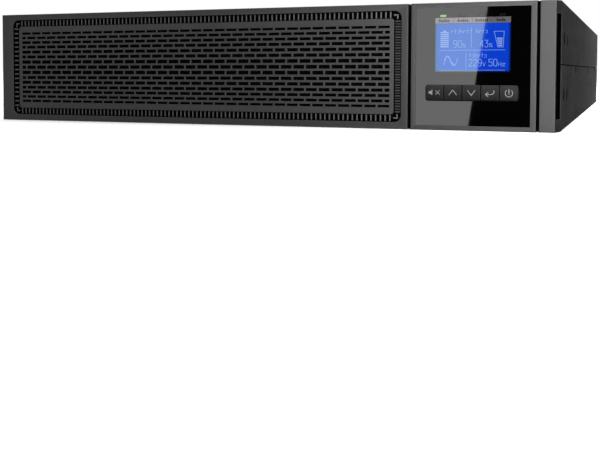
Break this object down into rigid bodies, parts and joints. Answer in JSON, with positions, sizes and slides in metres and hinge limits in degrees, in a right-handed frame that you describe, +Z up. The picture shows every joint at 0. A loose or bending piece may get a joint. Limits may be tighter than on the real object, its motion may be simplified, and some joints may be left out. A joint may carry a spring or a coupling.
{
  "type": "rackmount ups",
  "caption": "Two-unit rack power backup: slotted front grille that pulls off over a sliding battery tray, pull-out display with keys, rear fans, inlet and outlets.",
  "frame": {"origin": "centre of the bounding box on the plane of the case's underside", "axes": "+X to the right as seen from the front, +Y from the front to the rear, +Z up"},
  "size_m": [0.438, 0.68, 0.0865],
  "materials": {
    "battery_case": "moulded case",
    "black_plastic": "moulded",
    "capacitor_sleeve": "shrink sleeve",
    "case_paint": "satin black powder coat",
    "choke_winding": "enamelled winding",
    "circuit_board": "green solder mask",
    "connector_grey": "moulded housing",
    "dark_screw": "black-oxide screws",
    "earth_brass": "plain",
    "fan_plastic": "glass-filled moulding",
    "filter_foam": "black open-cell foam",
    "front_plastic": "fine-grained charcoal moulding",
    "gloss_black": "high-gloss black overlay",
    "grille_paint": "satin dark grey coat",
    "heat_sink_metal": "extruded, mill finish",
    "key_plastic": "satin charcoal moulding",
    "label_film": "pale printed film",
    "lcd_glass": "backlit blue screen",
    "led_lens": "diffused lens",
    "pin_metal": "nickel-plated contacts",
    "plated_wire": "nickel-plated",
    "port_metal": "tinned port shells",
    "red_button": "moulded button",
    "relay_case": "moulded case",
    "rib_plastic": "charcoal moulding",
    "screw_steel": "zinc-plated screws",
    "switch_body": "moulded",
    "terminal_green": "moulded terminal",
    "terminal_metal": "tinned",
    "wound_core": "ferrite and tape",
    "zinc_steel": "zinc-plated sheet"
  },
  "bodies": {
    "chassis": {"chassis_base": "case_paint", "top_cover": "case_paint", "case_screws": "dark_screw", "front_bulkhead": "zinc_steel", "clip_sockets": "black_plastic", "bay_partition": "zinc_steel", "front_frame": "front_plastic", "rear_panel": "case_paint", "fan_screws": "screw_steel", "fan_guards": "plated_wire", "fan_frames": "fan_plastic", "mains_inlet": "black_plastic", "inlet_pins": "pin_metal", "outlet_banks": "black_plastic", "breaker_body": "black_plastic", "dc_connector": "connector_grey", "usb_port": "port_metal", "serial_port": "port_metal", "network_ports": "black_plastic", "epo_terminal": "terminal_green", "card_slot_cover": "case_paint", "earth_stud": "earth_brass", "board_standoffs": "zinc_steel", "heat_sinks": "heat_sink_metal", "bus_capacitors": "capacitor_sleeve", "filter_chokes": "choke_winding", "bypass_relays": "relay_case", "charger_transformer": "wound_core", "main_board": "circuit_board", "charger_board": "circuit_board"},
    "battery_tray": {"battery_tray": "zinc_steel", "batteries": "battery_case", "battery_terminals": "terminal_metal", "battery_hold_down": "zinc_steel", "tray_handle": "zinc_steel", "tray_connector": "connector_grey"},
    "bezel": {"front_bezel": "front_plastic", "rib_ring": "rib_plastic", "grille_plate": "grille_paint", "dust_filter": "filter_foam", "filter_retainer": "black_plastic", "bezel_clips": "black_plastic"},
    "display": {"display_frame": "front_plastic", "display_panel": "gloss_black", "lcd_screen": "lcd_glass", "label_strip": "label_film", "status_leds": "led_lens", "display_board": "circuit_board", "key_switches": "switch_body", "display_back_cover": "black_plastic"},
    "key_escape": {"key_escape": "key_plastic"},
    "key_up": {"key_up": "key_plastic"},
    "key_down": {"key_down": "key_plastic"},
    "key_enter": {"key_enter": "key_plastic"},
    "key_power": {"key_power": "key_plastic"},
    "fan_rotor_left": {"fan_rotor_left": "fan_plastic"},
    "thumb_screw_left": {"thumb_screw_left": "screw_steel"},
    "fan_rotor_right": {"fan_rotor_right": "fan_plastic"},
    "thumb_screw_right": {"thumb_screw_right": "screw_steel"},
    "breaker_button": {"breaker_button": "red_button"}
  },
  "joints": [
    {"name": "tray_slide", "type": "slide", "parent": "chassis", "child": "battery_tray", "axis": [0, -1, 0], "range_m": [0, 0.288]},
    {"name": "bezel_pull", "type": "slide", "parent": "chassis", "child": "bezel", "axis": [0, -1, 0], "range_m": [0, 0.36]},
    {"name": "display_pull", "type": "slide", "parent": "chassis", "child": "display", "axis": [0, -1, 0], "range_m": [0, 0.022]},
    {"name": "key_escape_press", "type": "slide", "parent": "display", "child": "key_escape", "axis": [0, 1, 0], "range_m": [0, 0.0008], "stiffness_N_per_m": 800, "springref_m": -0.001},
    {"name": "key_up_press", "type": "slide", "parent": "display", "child": "key_up", "axis": [0, 1, 0], "range_m": [0, 0.0008], "stiffness_N_per_m": 800, "springref_m": -0.001},
    {"name": "key_down_press", "type": "slide", "parent": "display", "child": "key_down", "axis": [0, 1, 0], "range_m": [0, 0.0008], "stiffness_N_per_m": 800, "springref_m": -0.001},
    {"name": "key_enter_press", "type": "slide", "parent": "display", "child": "key_enter", "axis": [0, 1, 0], "range_m": [0, 0.0008], "stiffness_N_per_m": 800, "springref_m": -0.001},
    {"name": "key_power_press", "type": "slide", "parent": "display", "child": "key_power", "axis": [0, 1, 0], "range_m": [0, 0.0008], "stiffness_N_per_m": 800, "springref_m": -0.001},
    {"name": "thumb_screw_left_turn", "type": "hinge", "parent": "battery_tray", "child": "thumb_screw_left", "pos_m": [-0.2105, -0.3054, 0.043], "axis": [0, 1, 0], "continuous": true},
    {"name": "thumb_screw_right_turn", "type": "hinge", "parent": "battery_tray", "child": "thumb_screw_right", "pos_m": [0.1135, -0.3054, 0.043], "axis": [0, 1, 0], "continuous": true},
    {"name": "fan_left_spin", "type": "hinge", "parent": "chassis", "child": "fan_rotor_left", "pos_m": [-0.171, 0.3206, 0.04325], "axis": [0, 1, 0], "continuous": true},
    {"name": "fan_right_spin", "type": "hinge", "parent": "chassis", "child": "fan_rotor_right", "pos_m": [-0.087, 0.3206, 0.04325], "axis": [0, 1, 0], "continuous": true},
    {"name": "breaker_reset", "type": "slide", "parent": "chassis", "child": "breaker_button", "axis": [0, -1, 0], "range_m": [0, 0.0025], "stiffness_N_per_m": 1500, "springref_m": -0.002}
  ],
  "couplings": [
    {"joint": "bezel_pull", "follows": "tray_slide", "ratio": 1.25}
  ]
}
